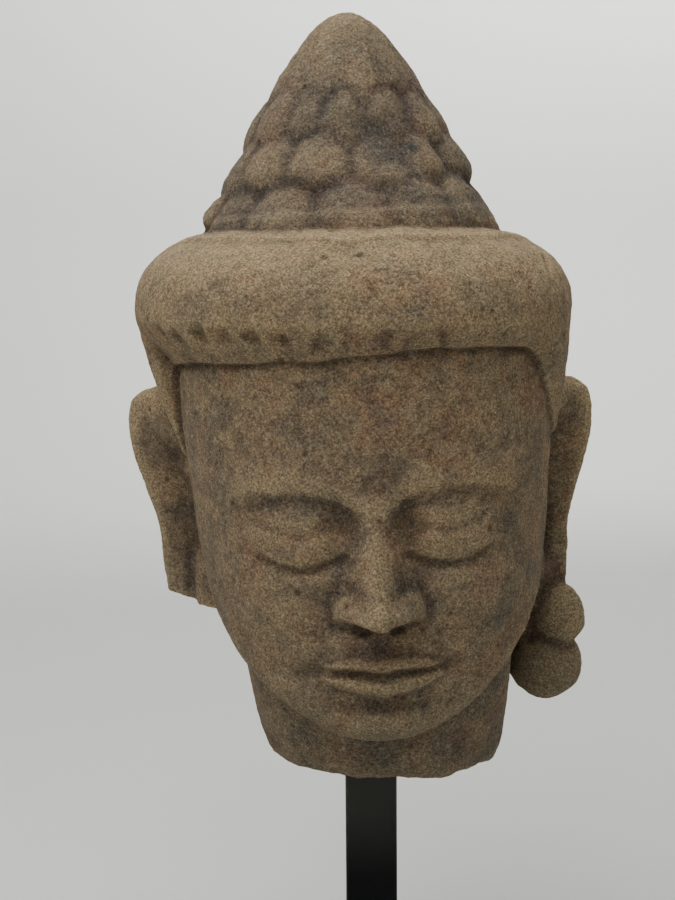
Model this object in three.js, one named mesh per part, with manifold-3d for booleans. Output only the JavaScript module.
// A temple figure's head in sandstone, broken off at the neck, on a square steel post with a plate foot.
// Millimetres, +Z up. The face looks along -Y. The origin is on the floor, under the middle of the post.
import * as THREE from "three";
import { mergeVertices } from "three/addons/utils/BufferGeometryUtils.js";
import Module from "manifold-3d";

const wasm = await Module();
wasm.setup();

// The stand: a plate foot with a square bar standing on it, which goes up into a socket cut in the neck.
const footSide = 170;
const footThickness = 14;
const footCorner = 4;
const footChamfer = 1.5;
const postSide = 25;
const postCorner = 2;
const bareLength = 135; // of the post, between the foot and the break of the neck
const socketDepth = 58;
const socketClearance = 0.8; // on each side of the post, and over its end

// The canon of the face: three equal thirds high, five eyes wide.
const third = 57; // hairline to brow, brow to nose, nose to chin
const eye = 32;

// The masses of the head, in its own frame: z is 0 at the hairline, and the axis runs up through the topknot.
const skull = { halfWidth: 85.5, front: 95, back: 78, jawInset: 19, squareness: 2.3 };
const jaw = { side: -2 * third, nape: -1.65 * third, round: 0.28 * third };
const neck = { halfWidth: 67, front: 57, back: 69, taper: 10, edge: 8, stub: 27 };
const neckBreak = { slope: 0.06, roughness: 2.8 };
const cap = {
  halfWidth: 101.6, front: 103.6, back: 108.6, squareness: 2.3,
  height: 53.5, widest: 15.5, shift: -3.3, fullness: 3,
};
const rim = { rise: 2, slope: 0.035, arch: 4, proud: 1.6 }; // of the cap, higher on the broken ear's side
const temple = { from: 53, uneven: 8, to: 78, drop: 44, napeDrop: 50 }; // degrees, and mm down
const topknot = { radius: 69, taper: 0.7, height: 99.5, curls: 13, curlRows: 5, relief: 4.4 };
const lean = 2.5; // degrees, the top of the head to -X
const offAxis = -2.7; // where the head's axis crosses the hairline, measured from the post's

// The ears: how far out the rim stands, in eyes, at places down from the hairline, in thirds.
const rimOfBrokenEar = [[0.27, 3.5], [0.52, 3.69], [0.83, 3.65], [1.17, 3.46], [1.48, 3.31], [2.4, 3.2]];
const rimOfWholeEar = [[0.37, 3.36], [0.61, 3.5], [0.77, 3.49], [1.07, 3.38], [1.64, 3.07], [2.4, 3]];
const ear = {
  rootX: 74, rootY: -10, rimY: 24, backX: 76, backY: 48,
  lobe: 0.64, rim: 5, hollow: 5, slit: 3, crown: 11,
};
const bead = { halfWidth: 17, halfDepth: 14.5, halfHeight: 17.5, out: 89.5, y: 15, down: 140 };
const bud = { halfWidth: 18, halfDepth: 15.5, halfHeight: 17, out: 87, y: 15, down: 164.5 };
const web = { halfWidth: 21, halfDepth: 13, halfHeight: 35, out: 71, y: 22, down: 130 }; // against the neck

const clamp = (v, low = 0, high = 1) => Math.min(high, Math.max(low, v));
const mix = (a, b, t) => a + (b - a) * t;
const swell = (u, v = 0) => Math.exp(-(u * u + v * v)); // a soft bump; u and v are counted in its radius
const bulge = (u, v) => Math.max(0, 1 - u * u - v * v); // a bump with an edge, counted the same way
const radians = THREE.MathUtils.degToRad;

function ease(from, to, v) {
  const t = clamp((v - from) / (to - from));
  return t * t * (3 - 2 * t);
}

// The distance from the axis to a squared oval. The angle is 0 at the front and turns to +X.
function oval(angle, halfWidth, front, back, squareness) {
  const across = Math.abs(Math.sin(angle)) / halfWidth;
  const along = Math.abs(Math.cos(angle)) / (Math.cos(angle) > 0 ? front : back);
  return (across ** squareness + along ** squareness) ** (-1 / squareness);
}

const around = (angle, radius, z) => new THREE.Vector3(radius * Math.sin(angle), -radius * Math.cos(angle), z);

// The slow unevenness of hand carving and weather, from -1 to 1, with waves about as long as span.
function unevenness(p, span) {
  const [x, y, z] = [p.x, p.y, p.z].map((v) => (2 * Math.PI * v) / span);
  const waves = Math.sin(x + 1.3 * Math.sin(0.7 * z)) + Math.sin(y - 1.1 * Math.sin(0.9 * x + 2));
  return (waves + Math.sin(z + 1.2 * Math.sin(0.8 * y + 1))) / 3;
}

// Angles from one side of the back, past the front, to the back again, closest together at the front.
function anglesDenseInFront(count, evenness) {
  return Array.from({ length: count }, (_, i) => {
    const s = (2 * i) / count - 1;
    return Math.PI * (evenness * s + (1 - evenness) * s ** 3);
  });
}

const evenAngles = (count) => Array.from({ length: count }, (_, i) => (2 * Math.PI * i) / count - Math.PI);
const steps = (from, to, count) => Array.from({ length: count }, (_, i) => mix(from, to, (i + 1) / count));

// A closed skin over rings of points, from the lowest ring to the highest, with one point at each end.
function skinOver(rings, lowest, highest) {
  const count = rings[0].length;
  const points = [lowest, ...rings.flat(), highest];
  const at = (ring, column) => 1 + ring * count + (column % count);
  const faces = [];
  for (let column = 0; column < count; column++) {
    faces.push(0, at(0, column + 1), at(0, column));
    for (let ring = 0; ring + 1 < rings.length; ring++) {
      const [a, b] = [at(ring, column), at(ring, column + 1)];
      const [c, d] = [at(ring + 1, column + 1), at(ring + 1, column)];
      faces.push(...(2 * column < count ? [a, b, c, a, c, d] : [a, b, d, b, c, d]));
    }
    const last = rings.length - 1;
    faces.push(at(last, column), at(last, column + 1), points.length - 1);
  }
  const skin = new THREE.BufferGeometry().setFromPoints(points);
  skin.setIndex(faces);
  return skin;
}

function solidOf(geometry) {
  const bare = geometry.clone();
  bare.deleteAttribute("normal");
  bare.deleteAttribute("uv");
  const merged = mergeVertices(bare, 1e-4);
  const mesh = { numProp: 3, vertProperties: merged.attributes.position.array, triVerts: merged.index.array };
  mesh.triVerts = new Uint32Array(mesh.triVerts);
  return new wasm.Manifold(new wasm.Mesh(mesh));
}

function geometryOf(solid) {
  const { vertProperties, triVerts } = solid.getMesh();
  const geometry = new THREE.BufferGeometry();
  geometry.setAttribute("position", new THREE.BufferAttribute(vertProperties, 3));
  geometry.setIndex(new THREE.BufferAttribute(triVerts, 1));
  const shaded = geometry.toNonIndexed();
  shaded.computeVertexNormals();
  return shaded;
}

// The face. s is in eyes out from the middle, and d in thirds down from the hairline: brow 1, nose 2, chin 3.
const browLine = (s) => 0.92 + 0.14 * ((s - 1.2) / 0.95) ** 2;
const lashLine = (s) => 1.41 + 0.1 * Math.max(0, 1 - ((s - 1) / 0.56) ** 2);
const mouthLine = (s) => 2.345 - 0.03 * (s / 0.85) ** 2;

function browAndEye(s, d) {
  const overBrow = d - browLine(s);
  const browEnds = (1 - ease(1.7, 2.2, s)) * ease(0, 0.4, s);
  const brow = 0.085 * swell(overBrow / (overBrow < 0 ? 0.18 : 0.09)) * browEnds;
  const outerSocket = 0.19 * swell((s - 1.04) / 0.74, (d - 1.28) / 0.25);
  const innerSocket = 0.12 * swell((s - 0.48) / 0.28, (d - 1.2) / 0.22);
  const lid = 0.3 * bulge((s - 1.02) / 0.7, (d - 1.32) / 0.29) ** 0.9;
  const below = ease(-0.02, 0.05, d - lashLine(s)) * (1 - ease(0.45, 0.65, Math.abs(s - 1)));
  const pouch = 0.04 * swell((s - 1) / 0.5, (d - 1.62) / 0.09);
  return brow - outerSocket - innerSocket + lid * (1 - 0.3 * below) + pouch;
}

function nose(s, d) {
  const run = clamp((d - 0.94) / (1.84 - 0.94));
  const under = 1 - ease(1.93, 2.03, d + 0.06 * clamp(s / 0.5));
  const height = (0.1 + 0.5 * run ** 1.2) * ease(0.84, 1.08, d);
  const bridge = height * Math.exp(-((s / mix(0.26, 0.35, run)) ** 2.6));
  const tip = 0.09 * swell(s / 0.3, (d - 1.85) / 0.13);
  const wing = 0.34 * bulge((s - 0.37) / 0.29, (d - 1.86) / 0.19) ** 0.8;
  return Math.max(bridge, wing, 0.72 * (bridge + wing)) * under + tip * under;
}

function mouthAndChin(s, d) {
  const line = mouthLine(s);
  const reach = Math.max(0, 1 - (s / 0.88) ** 2);
  const upperDepth = 0.15 * reach ** 0.7 + 0.01;
  const lowerDepth = 0.18 * reach ** 0.6 + 0.01;
  const muzzle = 0.15 * swell(s / 1.05, (d - 2.32) / 0.4);
  const upper = 0.11 * Math.sin(Math.PI * clamp((line - d) / upperDepth)) * reach ** 0.4;
  const lower = 0.14 * Math.sin(Math.PI * clamp((d - line) / lowerDepth)) * reach ** 0.4;
  const parting = 0.05 * swell((d - line) / 0.035) * (1 - ease(0.75, 1, s));
  const corner = 0.06 * swell((s - 0.94) / 0.18, (d - 2.325) / 0.09);
  const fold = 0.06 * swell(s / 0.62, (d - 2.61) / 0.07);
  const chin = 0.19 * swell(s / 0.6, (d - 2.8) / 0.17);
  return muzzle + upper + lower - parting - corner - fold + chin;
}

function cheek(s, d) {
  return 0.13 * swell((s - 1.45) / 0.7, (d - 1.82) / 0.42) - 0.03 * swell((s - 0.8) / 0.16, (d - 2.1) / 0.16);
}

const faceRelief = (s, d) => eye * (browAndEye(s, d) + nose(s, d) + mouthAndChin(s, d) + cheek(s, d));

// The skull and neck under the cap, from the break up. The jaw's lower edge falls from the ear to the chin.
function jawHeight(angle) {
  const forward = Math.cos(angle);
  return forward > 0 ? mix(jaw.side, -3 * third, forward ** 1.6) : mix(jaw.side, jaw.nape, -forward);
}

function skullRadius(angle, z) {
  const d = -z / third;
  const halfWidth = skull.halfWidth - skull.jawInset * (clamp(d, 0, 3) / 3) ** 2;
  const front = skull.front - (d < 1 ? 1.5 : 2.8) * (d - 1) ** 2;
  return oval(angle, halfWidth, front, skull.back, skull.squareness);
}

function facePoint(angle, rise) {
  const low = jawHeight(angle);
  const z = mix(low, 0.12 * third, rise);
  const curl = clamp((z - low) / jaw.round);
  const radius = skullRadius(angle, z) - jaw.round * (1 - Math.sqrt(1 - (1 - curl) ** 2));
  const p = around(angle, radius, z);
  p.y -= faceRelief(Math.abs(p.x) / eye, -z / third) * ease(0.1, 0.5, Math.cos(angle));
  return p;
}

const neckRadius = (angle, inset) =>
  oval(angle, neck.halfWidth - inset, neck.front - inset, neck.back - inset, skull.squareness);

function neckBreakHeight(p) {
  return -3 * third - neck.stub - neckBreak.slope * p.x + neckBreak.roughness * unevenness(p, 34);
}

function breakPoint(angle, share) {
  const p = around(angle, neckRadius(angle, neck.taper + neck.edge) * share, 0);
  p.z = neckBreakHeight(p) + 3 * (1 - share);
  return p;
}

function neckPoint(angle, rise) {
  const low = breakPoint(angle, 1);
  const rounding = neck.edge * (1 - Math.sqrt(1 - (1 - clamp(rise / 0.4)) ** 2));
  const radius = neckRadius(angle, neck.taper * (1 - rise) + rounding);
  return around(angle, radius, mix(low.z, jawHeight(angle) + 0.06 * third, rise));
}

function underJawPoint(angle, share) {
  const low = jawHeight(angle);
  const edge = skullRadius(angle, low) - jaw.round;
  return around(angle, mix(neckRadius(angle, 0), edge, share), low + 0.06 * third * (1 - share) ** 2);
}

function makeSkull() {
  const angles = anglesDenseInFront(60, 0.34);
  const ringOf = (place) => angles.map(place);
  const chinToNose = [...steps(3, 2.64, 4), ...steps(2.64, 2.1, 13), ...steps(2.1, 1.8, 6)];
  const downs = [...chinToNose, ...steps(1.8, 1.62, 2), ...steps(1.62, 0.86, 12), ...steps(0.86, -0.12, 3)];
  const rings = [
    ...[0.5, 1].map((share) => ringOf((a) => breakPoint(a, share))),
    ...[0.06, 0.18, 0.4, 1].map((rise) => ringOf((a) => neckPoint(a, rise))),
    ...[0.5, 1].map((share) => ringOf((a) => underJawPoint(a, share))),
    ...downs.map((d) => ringOf((a) => facePoint(a, (3 - d) / 3.12))),
  ];
  const bottom = new THREE.Vector3(0, 0, -3 * third - neck.stub + 4);
  return skinOver(rings, bottom, new THREE.Vector3(0, 0, 0.2 * third));
}

// The cap: a thick plain roll over the brow, running down before and behind the ears to the nape.
function capRim(angle) {
  const turn = THREE.MathUtils.radToDeg(angle);
  const from = temple.from - temple.uneven * Math.sign(turn);
  const arch = rim.arch * clamp(Math.abs(turn) / from) ** 2;
  const level = rim.rise - rim.slope * cap.halfWidth * Math.sin(angle) - arch;
  const behind = temple.napeDrop * ease(88, 130, Math.abs(turn));
  return level - temple.drop * ease(from, temple.to, Math.abs(turn)) - behind;
}

const capRadius = (angle, share) =>
  share * oval(angle, cap.halfWidth, cap.front, cap.back, cap.squareness);
const widestOfCap = (angle) => cap.widest - 1.5 * cap.fullness * Math.sin(angle);

// From the rim, which follows the skull, out to where the roll is widest.
function capLowerPoint(angle, rise) {
  const onTemple = ease(0.3 * temple.from, temple.to, Math.abs(THREE.MathUtils.radToDeg(angle)));
  const low = capRim(angle);
  const edge = around(angle, skullRadius(angle, low) + rim.proud, low);
  const widest = around(angle, capRadius(angle, 1), widestOfCap(angle)).add(new THREE.Vector3(cap.shift, 0, 0));
  const p = edge.clone().lerp(widest, 1 - (1 - rise) ** mix(1.8, 1.4, onTemple));
  return p.setZ(mix(edge.z, widest.z, rise));
}

function capUpperPoint(angle, rise) {
  const share = 0.55 + 0.45 * (1 - (0.976 * rise) ** 2.5) ** 0.5;
  const height = cap.height - cap.fullness * Math.sin(angle);
  const p = around(angle, capRadius(angle, share), mix(widestOfCap(angle), height, rise));
  return p.setX(p.x + cap.shift);
}

function makeCap() {
  const turns = steps(temple.from - temple.uneven, temple.to, 3);
  const strip = turns.flatMap((turn) => [-radians(turn), radians(turn)]);
  const angles = [...evenAngles(42), ...strip].sort((a, b) => a - b);
  const ringOf = (place) => angles.map((a) => {
    const p = place(a);
    return p.multiplyScalar(1 + 0.01 * unevenness(p, 110) * ease(-10, 15, p.z));
  });
  const inside = (a) => around(a, 0.75 * skullRadius(a, capRim(a)), capRim(a));
  const rings = [
    ringOf(inside),
    ...[0, 0.12, 0.34, 0.64, 1].map((rise) => ringOf((a) => capLowerPoint(a, rise))),
    ...[0.28, 0.52, 0.74, 0.9, 1].map((rise) => ringOf((a) => capUpperPoint(a, rise))),
  ];
  return skinOver(rings, new THREE.Vector3(0, 0, -0.3 * third), new THREE.Vector3(cap.shift, 0, cap.height));
}

// The topknot: a tall cone of worn snail curls in staggered rows.
function topknotPoint(angle, rise) {
  const row = Math.floor(rise * topknot.curlRows);
  const up = rise * topknot.curlRows - row;
  const turn = (angle / (2 * Math.PI)) * topknot.curls + (row % 2) / 2;
  const across = 2 * (turn - Math.round(turn));
  const worn = 1 - ease(0.45, 0.95, rise);
  const curl = Math.cos((Math.PI / 2) * across) * Math.sin(Math.PI * clamp(up) ** 0.9) ** 0.8;
  const plain = topknot.radius * (1 - topknot.taper * rise) * Math.sqrt(1 - rise ** 9);
  const radius = plain + topknot.relief * (curl - 0.3) * worn;
  return around(angle, radius, cap.height + topknot.height * rise);
}

function makeTopknot() {
  const angles = evenAngles(4 * topknot.curls);
  const foot = angles.map((a) => around(a, 0.9 * topknot.radius, cap.height - 0.16 * third));
  const rises = steps(0, 1, 3 * topknot.curlRows).slice(0, -1);
  const rings = [foot, ...[0.004, ...rises, 0.975].map((rise) => angles.map((a) => topknotPoint(a, rise)))];
  const middle = (z) => new THREE.Vector3(0, 0, z);
  const cone = skinOver(rings, middle(cap.height - 0.2 * third), middle(cap.height + topknot.height));
  return cone.translate(cap.shift, 0, 0);
}

// An ear is a flared slab of plan sections, with a rolled rim, a hollow and a long slit lobe that is narrower.
function earSection(reach, down, scale) {
  const narrow = mix(1, ear.lobe, ease(0.9, 1.7, down));
  const y = (place) => ear.rimY + (place - ear.rimY) * narrow;
  const root = new THREE.Vector2(ear.rootX, y(ear.rootY));
  const edge = new THREE.Vector2(reach(down) * eye, ear.rimY);
  const outward = edge.clone().sub(root).normalize().rotateAround(new THREE.Vector2(), -Math.PI / 2);
  const hollow = ear.hollow * ease(0.6, 0.85, down) * (1 - ease(1.5, 1.9, down));
  const slit = ear.slit * ease(1.4, 1.8, down);
  const face = steps(0, 1, 8).map((q) => {
    const depth = hollow * swell((q - 0.52) / 0.22) + slit * swell((q - 0.6) / 0.12);
    return root.clone().lerp(edge, q).addScaledVector(outward, -depth);
  });
  const back = [
    new THREE.Vector2(edge.x + 0.1 * ear.rim, edge.y + ear.rim),
    new THREE.Vector2(edge.x - ear.rim, edge.y + 1.9 * ear.rim),
    new THREE.Vector2(ear.backX, y(ear.backY)),
    new THREE.Vector2(ear.rootX - 16, y(ear.backY) - 6),
    new THREE.Vector2(ear.rootX - 16, y(ear.rootY) + 6),
  ];
  const middle = new THREE.Vector2(mix(ear.rootX, edge.x, 0.5), ear.rimY);
  return [root, ...face, ...back].map((p) => p.sub(middle).multiplyScalar(scale).add(middle));
}

function makeEar(rimPlaces, side, bottomAtRim, bottomAtRoot) {
  const top = rimPlaces[0][0];
  const curve = new THREE.SplineCurve(rimPlaces.map(([d, out]) => new THREE.Vector2(d, out)));
  const samples = curve.getPoints(60);
  const reach = (down) => {
    const next = Math.max(1, samples.findIndex((p) => p.x >= down));
    const [a, b] = [samples[next - 1], samples[next]];
    return mix(a.y, b.y, clamp((down - a.x) / (b.x - a.x)));
  };
  const rises = [0, ...steps(0, 0.84, 8), 0.9, 0.945, 0.975, 0.992, 1];
  const rings = rises.map((rise) => {
    const near = mix(bottomAtRim, top, rise);
    const belowTop = clamp(((near - top) * third) / ear.crown);
    const scale = Math.sqrt(1 - (0.98 * (1 - belowTop)) ** 2);
    const section = earSection(reach, near, scale);
    return section.map((p) => {
      const inwards = clamp((reach(near) * eye - p.x) / (0.6 * eye));
      const down = mix(mix(bottomAtRim, bottomAtRoot, inwards), top, rise);
      return new THREE.Vector3(side * p.x, p.y, -down * third);
    });
  });
  if (side < 0) rings.forEach((ring) => ring.reverse());
  const centre = (ring) => ring.reduce((sum, p) => sum.add(p), new THREE.Vector3()).divideScalar(ring.length);
  return skinOver(rings, centre(rings[0]), centre(rings.at(-1)));
}

// The ear drop: a bead over a wide bud, with a web of stone left behind them against the neck.
function makePendant() {
  return [bead, bud, web].map(({ halfWidth, halfDepth, halfHeight, out, y, down }) =>
    new THREE.SphereGeometry(1, 14, 9)
      .rotateX(Math.PI / 2)
      .scale(halfWidth, halfDepth, halfHeight)
      .translate(out, y, -down),
  );
}

// The head as one solid, leaning, with a socket for the post.
function makeHead() {
  const masses = [
    makeSkull(),
    makeCap(),
    makeTopknot(),
    makeEar(rimOfBrokenEar, -1, 2.1, 2.29),
    makeEar(rimOfWholeEar, 1, 2.34, 2.34),
    ...makePendant(),
  ];
  const hairline = footThickness + bareLength + neck.stub + 3 * third;
  const place = new THREE.Matrix4()
    .makeTranslation(offAxis, 0, hairline)
    .multiply(new THREE.Matrix4().makeRotationY(-radians(lean)));
  const solid = masses
    .map((mass) => solidOf(mass.applyMatrix4(place)))
    .reduce((whole, mass) => whole.add(mass));
  const width = postSide + 2 * socketClearance;
  const top = footThickness + bareLength + socketDepth + socketClearance;
  const socket = new THREE.BoxGeometry(width, width, 2 * socketDepth).translate(0, 0, top - socketDepth);
  return geometryOf(solid.subtract(solidOf(socket)));
}

// A square bar or plate standing on z = 0, with its upright edges rounded.
function squareStock(side, corner, height, chamfer) {
  const half = side / 2;
  const outline = new THREE.Shape();
  outline.moveTo(half, -half + corner);
  outline.absarc(half - corner, half - corner, corner, 0, Math.PI / 2);
  outline.absarc(-half + corner, half - corner, corner, Math.PI / 2, Math.PI);
  outline.absarc(-half + corner, -half + corner, corner, Math.PI, 1.5 * Math.PI);
  outline.absarc(half - corner, -half + corner, corner, 1.5 * Math.PI, 2 * Math.PI);
  const solid = new THREE.ExtrudeGeometry(outline, {
    depth: height - 2 * chamfer,
    curveSegments: 3,
    bevelEnabled: chamfer > 0,
    bevelSize: chamfer,
    bevelThickness: chamfer,
    bevelOffset: -chamfer,
    bevelSegments: 1,
  });
  return solid.translate(0, 0, chamfer);
}

const sandstone = new THREE.MeshStandardMaterial({ color: 0x8a7860, roughness: 0.95, metalness: 0 });
const blackSteel = new THREE.MeshStandardMaterial({ color: 0x1d1d1c, roughness: 0.55, metalness: 0.3 });

function named(name, geometry, material, z = 0) {
  const mesh = new THREE.Mesh(geometry, material);
  mesh.name = name;
  mesh.position.z = z;
  return mesh;
}

const post = squareStock(postSide, postCorner, bareLength + socketDepth, 0);
const part = new THREE.Group();
part.add(
  named("sandstone_head", makeHead(), sandstone),
  named("stand_post", post, blackSteel, footThickness),
  named("stand_foot", squareStock(footSide, footCorner, footThickness, footChamfer), blackSteel),
);

export default part;
